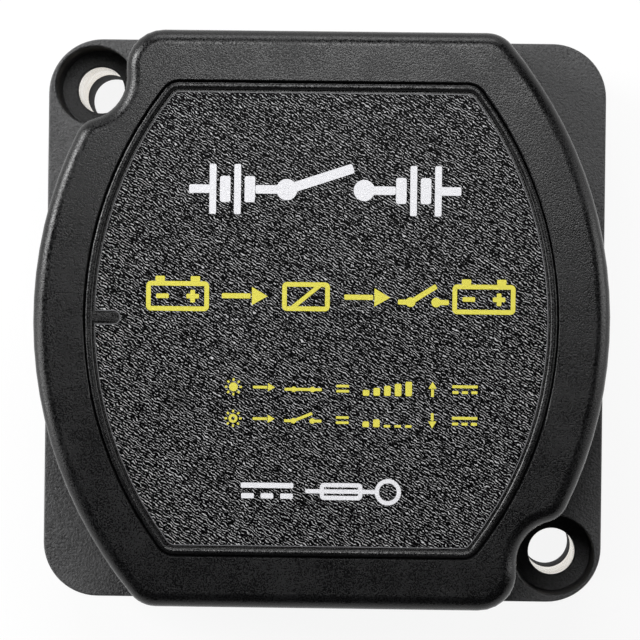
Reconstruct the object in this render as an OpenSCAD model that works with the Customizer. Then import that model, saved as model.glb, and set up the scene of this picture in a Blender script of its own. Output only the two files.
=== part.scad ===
// Battery isolator relay: a voltage sensing contactor in a square black case.
// The mounting face lies in the XY plane with the origin at its centre, and +Z
// points out of the panel, through the terminal bays and the contact chamber, to
// the label. +Y is the top of the label. All sizes are in millimetres.

/* [Case] */
// Width and height of the square body
body_w = 68; // [64:1:76]
// Radius of the four corners of the body
corner_r = 6.6; // [5.5:0.1:8]
// Height of the ears, where the screw heads sit, above the mounting face
ear_h = 32.5; // [31:0.5:36]
// Thickness of the moulded walls
wall = 2.4; // [2:0.1:2.8]
// Height of the seam between the rear frame and the housing
frame_h = 9.3; // [8:0.1:12]
// Thickness of the deck that carries the studs
deck_t = 2.5; // [2:0.1:4]

/* [Bulged front] */
// Radius of the two bulged sides
side_r = 50.5; // [46:0.5:70]
// Radius where a bulged side meets the top or the bottom
barrel_corner_r = 3.8; // [3.2:0.1:6]
// Radius of the rounded front edge
edge_r = 1.8; // [0.8:0.1:2.4]
// Width of the smooth rim around the recessed panel
panel_inset = 6.1; // [5:0.1:8]
// Corner radius of the recessed panel
panel_corner_r = 2.4; // [1.8:0.1:5]
// Width of the rounded bead around the label
bead_w = 0.85; // [0.7:0.05:1.8]

/* [Mounting holes] */
// Distance of the two mounting holes from the sides of the body
hole_inset = 5.7; // [5.5:0.05:6.2]
// Diameter of the mounting holes
hole_d = 5.8; // [5.2:0.1:6.2]
// Diameter of the pocket for the screw head
counterbore_d = 9.7; // [8.8:0.1:10]
// Depth of the pocket for the screw head
counterbore_depth = 8.3; // [6:0.1:10]

/* [Terminals] */
// Distance between the two studs
stud_pitch = 30; // [28:1:32]
// Thread diameter of the studs
stud_d = 8; // [6:1:8]
// Width across the flats of the nuts
nut_flats = 13; // [12:0.5:14]
// Diameter of the cable entries in the two sides
cable_d = 13; // [10:0.5:14]

/* [Contactor] */
// Height of the coil bobbin, which sets the height of the bulged front
coil_h = 10.95; // [10:0.05:16]
// Open gap between the fixed and the moving tips
contact_gap = 2; // [1:0.1:2.5]
// How far the bridge can give against its contact spring
bridge_give = 0.6; // [0.3:0.1:1]
// Outer diameter of the coil
coil_d = 28; // [24:0.5:29]
// Diameter of the plunger
plunger_d = 10; // [9.6:0.2:12]

/* [Hidden] */
$fn = 64;

overrun = 1;           // how far a cut runs past a face
fine_r = 0.4;          // smallest radius in an outline
seam_gap = 0.15;       // clearance of the cover's lip in the housing
slip = 0.05;           // radial clearance of a sliding or threaded fit
press = 0.02;          // radial clearance of a pressed fit
half_w = body_w / 2;

// Vertical stack, from the mounting face up
cable_roof = 0.2;      // land between a cable entry and the deck
deck_z = frame_h + cable_d / 2 + cable_roof;
deck_top = deck_z + deck_t;
ear_t = 3;             // thickness of the closed ears
lip_h = 2.5;           // how far the cover's lip drops into the housing
lip_t = 1.05;          // thickness of that lip
lip_inset = wall - lip_t - seam_gap;
// Mounting posts
hole_x = half_w - hole_inset;
scallop_gap = 0.17;    // bulged front outside the rim of a screw head pocket
scallop_r = counterbore_d / 2 + scallop_gap;
scallop_blend = 3.2;   // radius that blends a scallop into the bulged side
scallop_top_blend = 4.5; // and into the flat top or bottom
post_wall = 1.5;       // plastic round a screw head pocket
post_r = counterbore_d / 2 + post_wall;
seat_t = 1.2;          // plastic lip under a screw head
seat_z = ear_h - counterbore_depth;
sleeve_t = 0.9;        // wall of the metal spacer sleeve

// Self-tapping screws
screw_r = 1.45;
screw_hole_r = 1.7;
screw_head_r = 2.8;
screw_head_h = 2;
recess_l = 2.9;        // cross recess: length, width and depth
recess_w = 0.7;
recess_depth = 1;
pillar_shares = [0.544, 0.676];
pillar = half_w * pillar_shares;   // case screws, on four pillars
pillar_r = 3.2;
boss_reach = 0.6;      // boss past the round corner of the cavity
boss_r = corner_r - wall + boss_reach;
boss_x = half_w - corner_r;
boss_bite = 10;        // length of a frame screw in the housing
boss_cap = 2;          // plastic past the end of that screw
boss_top = frame_h + boss_bite + boss_cap;
head_seat = 3;         // depth of a frame screw's head pocket
head_clear = 0.3;      // between a sunk screw head and its pocket
head_pocket_r = screw_head_r + head_clear;

// Terminal hardware
stud_x = stud_pitch / 2;
stud_r = stud_d / 2;
stud_setback = 1.2;    // stud ends this far inside the mounting face
stud_chamfer = 0.7;
stud_clear = 0.15;     // of the stud in the deck
head_h = 3.2;
clamp_nut_h = 4;
washer_h = 1.5;
washer_rim = 4;
washer_r = stud_r + washer_rim;
spring_washer_h = 1.9;
spring_washer_rim = 3;
spring_washer_r = stud_r + spring_washer_rim;
spring_washer_slot = 1.2;
nut_h = 4;
nut_chamfer = 0.6;
stud_seat_rim = 1;
stud_seat_r = washer_r + stud_seat_rim;
stud_seat_h = 0.5;     // raised ring under the clamp nut
barrier_t = 3;         // barrier between the two bays
tip_r = 3.5;
tip_t = 0.8;
tag_t = 0.5;           // sensing tag under a stud head
tag_rim = 2.8;
tag_r = stud_r + tag_rim;
tag_arm = 9;          // from the stud's axis to the upright blade
tag_w = 4;
blade_w = 3;
blade_rise = 1.2;      // blade above the circuit board

// Contactor, from the deck up
head_z = deck_top + tag_t;
tip_z = head_z + head_h;
land_gap = 0.05;       // left between closed tips
moving_tip_z = tip_z + tip_t + contact_gap + land_gap;
bridge_z = moving_tip_z + tip_t;
bridge_t = 2;
bridge_w = 12;
bridge_end = 5;        // bridge past a stud's axis
bush_flange_t = 1;
bush_flange_r = 4.4;
bush_r = 3.1;
disc_t = 0.8;          // insulating disc over the bridge
disc_clearance = 1.4;  // over the disc when the bridge has given
spring_room = bridge_give + disc_clearance;
pole_plate_z = bridge_z + bridge_t + disc_t + spring_room;
pole_plate_t = 2;
bobbin_z = pole_plate_z + pole_plate_t;
yoke_t = 1.6;
yoke_w = 24;
lid_gap = 0.8;         // between the yoke and the cover
yoke_top = bobbin_z + coil_h + yoke_t;
flange_t = 1;
tube_t = 0.4;
plunger_r = plunger_d / 2;
tube_r = plunger_r + slip;
bobbin_bore_r = tube_r + tube_t + slip;
bobbin_core_r = bobbin_bore_r + flange_t;
winding_inset = 0.7;   // winding below the rim of the flanges
yoke_gap = 1.5;        // between the coil and the yoke's legs
leg_y = coil_d / 2 + yoke_gap;
tenon_w = 8;           // tenons of the pole plate in the legs
foot_l = 6.5;
foot_w = 10;
foot_y = leg_y + yoke_t + foot_l / 2;
foot_screw_r = 1.2;
foot_screw_l = 5.5;
foot_boss_r = 3.5;
foot_boss_h = 2.5;
pole_rise = 4;         // pole piece inside the coil
pole_top = bobbin_z + pole_rise;
rest_gap = 0.2;        // left between plunger and pole when closed
plunger_z = pole_top + contact_gap + rest_gap;
plunger_top = yoke_top + lid_gap / 2;
rod_r = 2;
rod_top_r = 2.6;
collar_t = 0.6;
collar_r = 3.7;
collar_drop = 0.25;    // collar below the coil
collar_z = bobbin_z - collar_drop;
spring_seat_r = 4;     // pocket under the pole piece for the contact spring
return_seat_r = 3.85;
return_seat_depth = 2;
plunger_seat_depth = 1.5;
return_wire = 0.7;
return_coil_r = 3.2;
return_turns = 4;
contact_wire = 0.8;
contact_coil_r = 3.1;
contact_turns = 2.25;
clip_t = 0.6;
clip_r = 3.8;
clip_groove = 0.3;
clip_mouth = 2.6;      // opening at the side of the clip
rod_tail = 0.9;        // rod below its clip
wire_sides = 6;
turn_rings = 10;

// Front wall and the recess for the panel
pocket_depth = 2.4;
front_wall = 1.6;
cover_under = yoke_top + lid_gap;
case_h = cover_under + front_wall + pocket_depth;

// Panel and label
rim_chamfer = 0.2;     // broken inner edge of the smooth rim
panel_gap = 0.25;      // open line between the rim and the panel
panel_t = 1.6;         // panel thickness under the label
bead_h = 0.7;          // bead above the label's seat
label_gap = 0.1;       // open line between the bead and the label
label_t = 0.25;
label_inset = panel_inset + panel_gap + bead_w + label_gap;
label_z = case_h - pocket_depth + panel_t;
panel_round = panel_inset + panel_corner_r;
tab_l = 2.3;           // locating tab on the bead, at the left
tab_w = 1;
tab_h = 0.4;           // height of that tab above the label's seat
notch_l = 3;           // notch in the label around the tab
notch_w = 1.5;
bead_steps = 6;
edge_steps = 6;

// Circuit board
pcb_t = 1.6;
pcb_drop = 1.05;       // board below the coil's lower flange
pcb_z = bobbin_z - pcb_drop - pcb_t;
pcb_top = pcb_z + pcb_t;
pcb_inset = wall + 0.8;
pcb_gap = 0.8;         // board clear of the contactor
part_gap = 1.2;        // components clear of the contactor
row_y = leg_y + yoke_t + part_gap;
coil_ear_l = 3.5;      // ear of the bobbin that holds the pins
coil_ear_w = 10;
pin_r = 0.4;
pin_pitch = 6;
pin_x = coil_d / 2 + 0.6 * coil_ear_l;
pin_tail = 1.2;
led_shares = [-0.497, -0.27];
led = half_w * led_shares;
led_r = 1.5;
led_h = 3.8;
led_flange_r = 1.9;
led_flange_h = 1;
pipe_r = 2.1;
pipe_flange_r = 3;
pipe_flange_t = 1;
pipe_gap = 0.8;        // between the lamp and the light pipe
chip_size = [3.9, 4.9, 1.5];
chip_lead = [1.05, 0.4, 0.3];
chip_pitch = 1.27;
chip_shares = [0.632, -0.265];
chip_place = half_w * chip_shares;
driver_size = [6.1, 6.5, 2.3];
driver_tab = [1.2, 5.2, 0.5];
driver_lead = [2.6, 0.8, 0.5];
driver_pitch = 4.6;
driver_shares = [0.618, 0.28];
driver_place = half_w * driver_shares;
regulator_size = [3.5, 6.5, 1.6];
regulator_tab = [1.6, 3, 0.3];
regulator_lead = [1.6, 0.7, 0.3];
regulator_pitch = 2.3;
regulator_shares = [-0.662, 0.265];
regulator_place = half_w * regulator_shares;
diode_size = [2.6, 4.3, 2.2];
diode_lead = [1.5, 0.6, 0.3];
diode_place = [coil_d / 2 + coil_ear_l + part_gap + diode_size.x / 2, 0];
can_r = 3.15;
can_h = 11;
can_seat_h = 1;
can_bead = 0.35;
can_place_share = -0.147;
can_place = [half_w * can_place_share, row_y + can_r];
disc_r = 3.6;
varistor_t = 2.6;
varistor_lead_h = 2;
varistor_place_share = 0.22;
varistor_place = [half_w * varistor_place_share, row_y + can_r];
resistor_size = [3.2, 1.6, 0.6];
resistor_cap = 0.5;
resistor_pitch = 2.6;
resistor_count = 4;
resistor_shares = [-0.662, -0.47];
resistor_place = half_w * resistor_shares;
ceramic_size = [2, 1.25, 1.1];
ceramic_pitch = 2.4;
ceramic_count = 3;
ceramic_gap = 0.9;     // between the row and the control chip
ceramic_share = 0.603;
ceramic_place = [
    half_w * ceramic_share,
    chip_place.y - chip_size.y / 2 - ceramic_gap - ceramic_size.y / 2 - (ceramic_count - 1) * ceramic_pitch
];
ground_tab = [4.8, 0.8, 6];
ground_place = [0, -row_y - can_r];

// Rubber gland for the earth lead, in the bottom wall
gland_z = (deck_top + ear_h - ear_t) / 2;
gland_r = 3.6;
gland_neck_r = 2.6;
gland_bore_r = 1.3;
gland_step = 0.8;      // flange sunk in the outer face
gland_inner_t = 1;

plastic = "#1d1d1f";
soft_black = "#2a2a2c";
copper = "#b87333";
brass = "#c9a54a";
zinc = "#b9bcc0";
steel = "#8d9196";
silver = "#d9dadb";
board_green = "#1f5f3a";

// Points of an arc from angle a0 towards a1, without the last one
function arc(centre, r, a0, a1, n) =
    [for (i = [0 : n - 1]) centre + r * [cos(a0 + (a1 - a0) * i / n), sin(a0 + (a1 - a0) * i / n)]];

// Centre of a circle that touches two others, on the left of the line from c1 to c2
function touching(c1, r1, c2, r2) =
    let (gap = norm(c2 - c1), u = (c2 - c1) / gap, a = (r1 * r1 - r2 * r2 + gap * gap) / (2 * gap))
    c1 + a * u + sqrt(max(r1 * r1 - a * a, 0)) * [-u.y, u.x];

function bearing(from, to) = atan2(to.y - from.y, to.x - from.x);

// Upper left corner without a scallop
function plain_corner(d, q, yc, xc, a_side) = arc([-xc, yc], q, 90, 180 - a_side, 6);

// Upper left corner with the scallop round the screw head pocket
function scalloped_corner(d, side_centre) =
    let (
        q1 = max(scallop_top_blend - d, fine_r),
        q2 = max(scallop_blend - d, fine_r),
        hole = [-hole_x, hole_x],
        r = scallop_r + d,
        top_y = half_w - d - q1,
        b1 = [-hole_x + sqrt((r + q1) * (r + q1) - (top_y - hole_x) * (top_y - hole_x)), top_y],
        b2 = touching(side_centre, side_r - d - q2, hole, r + q2),
        a1 = bearing(b1, hole) + 360,
        a2 = bearing(b2, hole)
    )
    concat(
        arc(b1, q1, 90, a1, 7),
        arc(hole, r, a1 - 180, a2 - 180, 10),
        arc(b2, q2, a2, bearing(side_centre, b2), 4)
    );

function scallop_end(d, side_centre) =
    let (q = max(scallop_blend - d, fine_r))
    bearing(side_centre, touching(side_centre, side_r - d - q, [-hole_x, hole_x], scallop_r + d + q));

// Plain corner and the side below it, each point opposite one of the scalloped rim's corner
function matched_corner(d, q, yc, xc, a_side, side_centre) =
    let (
        rim = scalloped_corner(edge_r, side_centre),
        from = bearing(side_centre, rim[7]),
        to = scallop_end(edge_r, side_centre),
        first = 180 - a_side
    )
    concat(
        arc([-xc, yc], q, 90, first, 7),
        [for (i = [7 : len(rim) - 1])
            let (a = first + (to - first) * (bearing(side_centre, rim[i]) - from) / (to - from))
            side_centre + (side_r - d) * [cos(a), sin(a)]]
    );

// Outline of the bulged front, set in by d. Its plain corners have radius r0 - d.
// A matched outline has no scallops, but as many points as a scalloped one.
function barrel(d, r0, scalloped, matched = false) =
    let (
        q = max(r0 - d, fine_r),
        side_centre = [side_r - half_w, 0],
        yc = half_w - d - q,
        xc = half_w - side_r + sqrt((side_r - d - q) * (side_r - d - q) - yc * yc),
        a_side = atan2(yc, xc + side_r - half_w),
        start = scalloped || matched ? scallop_end(matched ? edge_r : d, side_centre) : 180 - a_side,
        half = concat(
            scalloped ? scalloped_corner(d, side_centre)
                : matched ? matched_corner(d, q, yc, xc, a_side, side_centre)
                : plain_corner(d, q, yc, xc, a_side),
            arc(side_centre, side_r - d, start, 180 + a_side, 20),
            arc([-xc, -yc], q, 180 + a_side, 270, 6),
            [[-xc, -yc - q]]
        )
    )
    concat(half, [for (p = half) -p]);

function lifted(outline, z) = [for (p = outline) [p.x, p.y, z]];

// A solid through outlines of the bulged front: each level is [inset, height]
module barrel_loft(levels, r0, scalloped)
    ring_loft([for (level = levels) lifted(barrel(level[0], r0, scalloped), level[1])]);

// A solid through rings of equally many points, closed by its first and last ring
module ring_loft(rings) {
    n = len(rings[0]);
    last = len(rings) - 1;
    polyhedron(
        points = [for (ring = rings) for (p = ring) p],
        faces = concat(
            [[for (i = [0 : n - 1]) i]],
            [for (k = [0 : last - 1]) for (i = [0 : n - 1]) [k * n + i, (k + 1) * n + i, (k + 1) * n + (i + 1) % n]],
            [for (k = [0 : last - 1]) for (i = [0 : n - 1]) [k * n + i, (k + 1) * n + (i + 1) % n, k * n + (i + 1) % n]],
            [[for (i = [n - 1 : -1 : 0]) last * n + i]]
        )
    );
}

module barrel_slab(d, z0, z1, r0, scalloped) {
    translate([0, 0, z0]) linear_extrude(z1 - z0) polygon(barrel(d, r0, scalloped));
}

module rounded_square(w, r) {
    square([w - 2 * r, w], center = true);
    square([w, w - 2 * r], center = true);
    for (x = [-1, 1], y = [-1, 1]) translate([x, y] * (w / 2 - r)) circle(r);
}

module at_holes() for (s = [-1, 1]) translate([s * hole_x, -s * hole_x, 0]) children();
module at_bosses() for (s = [-1, 1]) translate([s * boss_x, s * boss_x, 0]) children();
module at_pillars() for (x = [-1, 1], y = [-1, 1]) translate([x * pillar.x, y * pillar.y, 0]) children();
module at_studs() for (s = [-1, 1]) translate([s * stud_x, 0, 0]) children();
module at_feet() for (s = [-1, 1]) translate([0, s * foot_y, 0]) children();

module ring(r_out, r_in, h) {
    difference() {
        cylinder(r = r_out, h = h);
        translate([0, 0, -overrun]) cylinder(r = r_in, h = h + 2 * overrun);
    }
}

module hex_nut(h) {
    corner = nut_flats / 2 / cos(30);
    difference() {
        intersection() {
            cylinder(r = corner, h = h, $fn = 6);
            union() {
                cylinder(r1 = corner - nut_chamfer, r2 = corner, h = nut_chamfer / 2);
                translate([0, 0, nut_chamfer / 2]) cylinder(r = corner, h = h - nut_chamfer);
                translate([0, 0, h - nut_chamfer / 2])
                    cylinder(r1 = corner, r2 = corner - nut_chamfer, h = nut_chamfer / 2);
            }
        }
        translate([0, 0, -overrun]) cylinder(r = stud_r + slip, h = h + 2 * overrun);
    }
}

// A screw with its head below z = 0 and its shank above
module screw(r, head_r, head_h, length) {
    difference() {
        union() {
            translate([0, 0, -head_h]) cylinder(r1 = head_r - head_h / 4, r2 = head_r, h = head_h / 2);
            translate([0, 0, -head_h / 2]) cylinder(r = head_r, h = head_h / 2);
            cylinder(r = r, h = length - r);
            translate([0, 0, length - r]) cylinder(r1 = r, r2 = r / 4, h = r);
        }
        for (a = [0, 90]) rotate(a)
            translate([-recess_l * head_r / screw_head_r / 2, -recess_w / 2, -head_h - overrun])
                cube([recess_l * head_r / screw_head_r, recess_w, recess_depth * head_h / screw_head_h + overrun]);
    }
}

// One tube of round wire wound into an open coil between z = 0 and z = h
module coil_spring(coil_r, wire, turns, h) {
    n = round(turns * turn_rings);
    lead = (h - wire) / turns;
    lean = atan2(lead, 2 * PI * coil_r);
    polyhedron(
        points = [
            for (i = [0 : n]) let (a = 360 * turns * i / n)
            for (k = [0 : wire_sides - 1]) let (b = 360 * k / wire_sides) [
                (coil_r + wire / 2 * cos(b)) * cos(a) + wire / 2 * sin(b) * sin(lean) * sin(a),
                (coil_r + wire / 2 * cos(b)) * sin(a) - wire / 2 * sin(b) * sin(lean) * cos(a),
                wire / 2 + lead * turns * i / n + wire / 2 * sin(b) * cos(lean)
            ]
        ],
        faces = concat(
            [[for (k = [0 : wire_sides - 1]) k]],
            [for (i = [0 : n - 1]) for (k = [0 : wire_sides - 1]) let (j = (k + 1) % wire_sides)
                [i * wire_sides + k, (i + 1) * wire_sides + k, (i + 1) * wire_sides + j]],
            [for (i = [0 : n - 1]) for (k = [0 : wire_sides - 1]) let (j = (k + 1) % wire_sides)
                [i * wire_sides + k, (i + 1) * wire_sides + j, i * wire_sides + j]],
            [[for (k = [wire_sides - 1 : -1 : 0]) n * wire_sides + k]]
        )
    );
}

// Bulged front with its rounded edge, the scallops and the recess for the panel
module front_cover() {
    lip_end = ear_h - lip_h;
    shell_levels = concat(
        [[wall, cover_under], [wall, lip_end], [wall - lip_t, lip_end], [wall - lip_t, ear_h], [0, ear_h]],
        [for (i = [0 : edge_steps]) let (a = 90 * i / edge_steps)
            [edge_r * (1 - cos(a)), case_h - edge_r + edge_r * sin(a)]]
    );
    recess_levels = [
        [panel_inset - rim_chamfer, case_h],
        [panel_inset, case_h - rim_chamfer],
        [panel_inset, case_h - pocket_depth]
    ];
    color(plastic) difference() {
        union() {
            ring_loft(concat(
                [for (level = shell_levels) lifted(barrel(level[0], barrel_corner_r, true), level[1])],
                [for (level = recess_levels) lifted(barrel(level[0], panel_round, false, true), level[1])]
            ));
            at_pillars() translate([0, 0, pcb_top]) cylinder(r = pillar_r, h = cover_under - pcb_top + front_wall / 2);
        }
        at_pillars() translate([0, 0, pcb_top - overrun])
            cylinder(r = screw_r + slip, h = (cover_under - pcb_top) / 2 + overrun);
        translate([led.x, led.y, cover_under - overrun]) cylinder(r = pipe_r + slip, h = case_h - cover_under);
    }
}

// Panel in the recess, with a rounded bead round the label and a locating tab at the left
module front_panel() {
    bottom = case_h - pocket_depth;
    bead_r = bead_w / 2;
    bead_base = label_z + bead_h - bead_r * 0.6;
    edge = panel_inset + panel_gap;
    color(soft_black) difference() {
        union() {
            difference() {
                barrel_loft(concat(
                    [[edge, bottom]],
                    [for (i = [0 : bead_steps]) let (a = 90 * i / bead_steps)
                        [edge + bead_r * (1 - cos(a)), bead_base + bead_r * 0.6 * sin(a)]]
                ), panel_round, false);
                barrel_loft(concat(
                    [[edge + bead_w, label_z]],
                    [for (i = [0 : bead_steps]) let (a = 90 * i / bead_steps)
                        [edge + bead_w - bead_r * (1 - cos(a)), bead_base + bead_r * 0.6 * sin(a)]],
                    [[edge + bead_r, case_h + overrun]]
                ), panel_round, false);
            }
            translate([-half_w + edge + bead_w / 2, -tab_w / 2, label_z - panel_t / 2])
                cube([tab_l + bead_w / 2, tab_w, panel_t / 2 + tab_h]);
        }
        translate([led.x, led.y, bottom - overrun]) cylinder(r = pipe_r + slip, h = pocket_depth + 2 * overrun);
    }
}

// Printed film, notched round the locating tab
module label() {
    color(soft_black) difference() {
        barrel_slab(label_inset, label_z, label_z + label_t, panel_round, false);
        translate([-half_w + label_inset - overrun, -notch_w / 2, label_z - overrun])
            cube([notch_l + overrun - notch_w / 2, notch_w, label_t + 2 * overrun]);
        translate([-half_w + label_inset + notch_l - notch_w / 2, 0, label_z - overrun])
            cylinder(r = notch_w / 2, h = label_t + 2 * overrun);
    }
}

// What the walls, the posts and, low down, the bosses leave free inside the square body
module free_area(bosses = true) {
    difference() {
        rounded_square(body_w - 2 * wall, corner_r - wall);
        at_holes() circle(post_r);
        if (bosses) at_bosses() circle(boss_r);
    }
}

module cable_entries() {
    for (s = [0, 180]) rotate(s) translate([half_w - wall - overrun, 0, frame_h])
        rotate([0, 90, 0]) cylinder(r = cable_d / 2, h = wall + 2 * overrun);
}

// Square housing: terminal bays below the deck and the contact chamber above it
module main_housing() {
    color(plastic) difference() {
        union() {
            difference() {
                translate([0, 0, frame_h]) linear_extrude(ear_h - frame_h) rounded_square(body_w, corner_r);
                translate([0, 0, deck_top]) linear_extrude(boss_top - deck_top) free_area();
                translate([0, 0, boss_top - overrun]) linear_extrude(ear_h - ear_t - boss_top + overrun)
                    free_area(bosses = false);
                barrel_slab(lip_inset, ear_h - ear_t - overrun / 2, ear_h + overrun, barrel_corner_r, true);
                translate([0, 0, frame_h - overrun]) linear_extrude(deck_z - frame_h + overrun) difference() {
                    free_area();
                    square([barrier_t, body_w], center = true);
                }
            }
            at_pillars() translate([0, 0, deck_z]) cylinder(r = pillar_r, h = pcb_z - deck_z);
            at_feet() translate([0, 0, deck_z - foot_boss_h]) cylinder(r = foot_boss_r, h = foot_boss_h + deck_t / 2);
            at_studs() translate([0, 0, deck_z - stud_seat_h]) cylinder(r = stud_seat_r, h = stud_seat_h + deck_t / 2);
        }
        at_holes() {
            translate([0, 0, seat_z]) cylinder(r = counterbore_d / 2, h = counterbore_depth + overrun);
            translate([0, 0, frame_h - overrun]) cylinder(r = hole_d / 2, h = ear_h);
            translate([0, 0, frame_h - overrun])
                cylinder(r = hole_d / 2 + sleeve_t + press, h = seat_z - seat_t - frame_h + overrun);
        }
        at_bosses() translate([0, 0, frame_h - overrun]) cylinder(r = screw_r + slip, h = boss_bite + 2 * overrun);
        at_pillars() translate([0, 0, deck_z - overrun]) cylinder(r = screw_hole_r, h = pcb_z - deck_z + 2 * overrun);
        at_feet() translate([0, 0, deck_top - foot_screw_l + yoke_t])
            cylinder(r = foot_screw_r + slip, h = foot_screw_l);
        at_studs() translate([0, 0, deck_z - overrun]) cylinder(r = stud_r + stud_clear, h = deck_t + 2 * overrun);
        cable_entries();
        translate([0, -half_w + wall + overrun, gland_z]) rotate([90, 0, 0])
            cylinder(r = gland_neck_r, h = wall + 2 * overrun);
        translate([0, -half_w + gland_step, gland_z]) rotate([90, 0, 0])
            cylinder(r = gland_r, h = gland_step + overrun);
    }
}

// Open frame behind the housing, with the lower half of each cable entry
module rear_frame() {
    color(plastic) difference() {
        linear_extrude(frame_h) rounded_square(body_w, corner_r);
        translate([0, 0, -overrun]) linear_extrude(frame_h + 2 * overrun) difference() {
            free_area();
            square([barrier_t, body_w], center = true);
        }
        at_holes() translate([0, 0, -overrun]) cylinder(r = hole_d / 2, h = frame_h + 2 * overrun);
        at_bosses() {
            translate([0, 0, -overrun]) cylinder(r = screw_hole_r, h = frame_h + 2 * overrun);
            translate([0, 0, -overrun]) cylinder(r = head_pocket_r, h = head_seat + overrun);
        }
        cable_entries();
    }
}

// Metal spacers that take the clamping force of the mounting screws
module mounting_sleeves() {
    color(zinc) at_holes() translate([0, 0, frame_h])
        ring(hole_d / 2 + sleeve_t, hole_d / 2, seat_z - seat_t - frame_h);
}

module earth_gland() {
    color(soft_black) translate([0, -half_w, gland_z]) rotate([-90, 0, 0]) difference() {
        union() {
            cylinder(r = gland_r - slip, h = gland_step);
            cylinder(r = gland_neck_r - slip, h = wall + gland_inner_t);
            translate([0, 0, wall]) cylinder(r = gland_r, h = gland_inner_t);
        }
        translate([0, 0, -overrun]) cylinder(r = gland_bore_r, h = wall + gland_inner_t + 2 * overrun);
    }
}

module case_screws() {
    length = pcb_top - deck_z + (cover_under - pcb_top) / 2 - overrun;
    color(zinc) at_pillars() translate([0, 0, deck_z]) screw(screw_r, screw_head_r, screw_head_h, length);
}

module frame_screws() {
    color(zinc) at_bosses() translate([0, 0, head_seat])
        screw(screw_r, screw_head_r, screw_head_h, frame_h - head_seat + boss_bite);
}

// A stud with its hexagon head on the deck and its threaded end in a terminal bay
module stud(side) {
    color(copper) translate([side * stud_x, 0, 0]) {
        translate([0, 0, stud_setback]) cylinder(r1 = stud_r - stud_chamfer, r2 = stud_r, h = stud_chamfer);
        translate([0, 0, stud_setback + stud_chamfer])
            cylinder(r = stud_r, h = head_z - stud_setback - stud_chamfer);
        translate([0, 0, head_z]) cylinder(r = nut_flats / 2 / cos(30), h = head_h, $fn = 6);
    }
}

clamp_nut_z = deck_z - stud_seat_h - clamp_nut_h;
washer_z = clamp_nut_z - washer_h;
spring_washer_z = washer_z - spring_washer_h;
terminal_nut_z = spring_washer_z - nut_h;

module clamp_nuts() {
    color(brass) at_studs() translate([0, 0, clamp_nut_z]) hex_nut(clamp_nut_h);
}

module flat_washers() {
    color(brass) at_studs() translate([0, 0, washer_z]) ring(washer_r, stud_r + stud_clear, washer_h);
}

module spring_washers() {
    color(zinc) at_studs() translate([0, 0, spring_washer_z]) difference() {
        ring(spring_washer_r, stud_r + stud_clear, spring_washer_h);
        rotate(60) translate([0, -spring_washer_slot / 2, -overrun])
            cube([spring_washer_r + overrun, spring_washer_slot, spring_washer_h + 2 * overrun]);
    }
}

module terminal_nuts() {
    color(brass) at_studs() translate([0, 0, terminal_nut_z]) rotate(15) hex_nut(nut_h);
}

// Flat tags under the stud heads, each with an upright blade through the circuit board
module sensing_tags() {
    color(brass) for (s = [0, 180]) rotate(s) translate([stud_x, 0, deck_top]) {
        difference() {
            union() {
                cylinder(r = tag_r, h = tag_t);
                translate([0, -tag_w / 2, 0]) cube([tag_arm, tag_w, tag_t]);
            }
            translate([0, 0, -overrun]) cylinder(r = stud_r + stud_clear, h = tag_t + 2 * overrun);
        }
        translate([tag_arm - tag_t, -blade_w / 2, 0]) cube([tag_t, blade_w, pcb_top - deck_top + blade_rise]);
    }
}

module fixed_tips() {
    color(silver) at_studs() translate([0, 0, tip_z]) cylinder(r = tip_r, h = tip_t);
}

module pole_plate_outline(clearance) {
    square([yoke_w, 2 * leg_y - 2 * clearance], center = true);
    square([tenon_w - 2 * clearance, 2 * (leg_y + yoke_t)], center = true);
}

// Bent steel frame that closes the magnetic circuit and stands on the deck
module yoke() {
    color(steel) difference() {
        union() {
            translate([-yoke_w / 2, -leg_y - yoke_t, yoke_top - yoke_t]) cube([yoke_w, 2 * (leg_y + yoke_t), yoke_t]);
            for (s = [0, 180]) rotate(s) {
                translate([-yoke_w / 2, leg_y, pole_plate_z - pole_plate_t])
                    cube([yoke_w, yoke_t, yoke_top - pole_plate_z + pole_plate_t - yoke_t / 2]);
                translate([-foot_w / 2, leg_y, deck_top]) cube([foot_w, yoke_t, pole_plate_z - deck_top]);
                translate([-foot_w / 2, leg_y, deck_top]) cube([foot_w, yoke_t + foot_l, yoke_t]);
            }
        }
        translate([0, 0, yoke_top - yoke_t - overrun]) cylinder(r = tube_r + tube_t + press, h = yoke_t + 2 * overrun);
        at_feet() translate([0, 0, deck_top - overrun])
            cylinder(r = foot_screw_r + stud_clear, h = yoke_t + 2 * overrun);
        translate([0, 0, pole_plate_z]) linear_extrude(pole_plate_t) square([tenon_w, body_w], center = true);
    }
}

module yoke_screws() {
    color(zinc) at_feet() translate([0, 0, deck_top + yoke_t]) rotate([180, 0, 0])
        screw(foot_screw_r, screw_head_r * foot_screw_r / screw_r, screw_head_h * foot_screw_r / screw_r,
              foot_screw_l - slip);
}

module pole_plate() {
    color(steel) translate([0, 0, pole_plate_z]) difference() {
        linear_extrude(pole_plate_t) pole_plate_outline(press);
        translate([0, 0, -overrun]) cylinder(r = plunger_r + press, h = pole_plate_t + 2 * overrun);
    }
}

// Turned pole: the rod runs through it, with a spring pocket at each end
module pole_piece() {
    pocket_top = collar_z + collar_t + rest_gap;
    color(steel) difference() {
        translate([0, 0, pole_plate_z]) cylinder(r = plunger_r, h = pole_top - pole_plate_z);
        translate([0, 0, pole_plate_z - overrun]) cylinder(r = rod_top_r + slip, h = pole_top);
        translate([0, 0, pole_plate_z - overrun]) cylinder(r = spring_seat_r, h = pocket_top - pole_plate_z + overrun);
        translate([0, 0, pole_top - return_seat_depth]) cylinder(r = return_seat_r, h = return_seat_depth + overrun);
    }
}

module guide_tube() {
    color(brass) translate([0, 0, bobbin_z]) ring(tube_r + tube_t, tube_r, yoke_top - bobbin_z);
}

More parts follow.
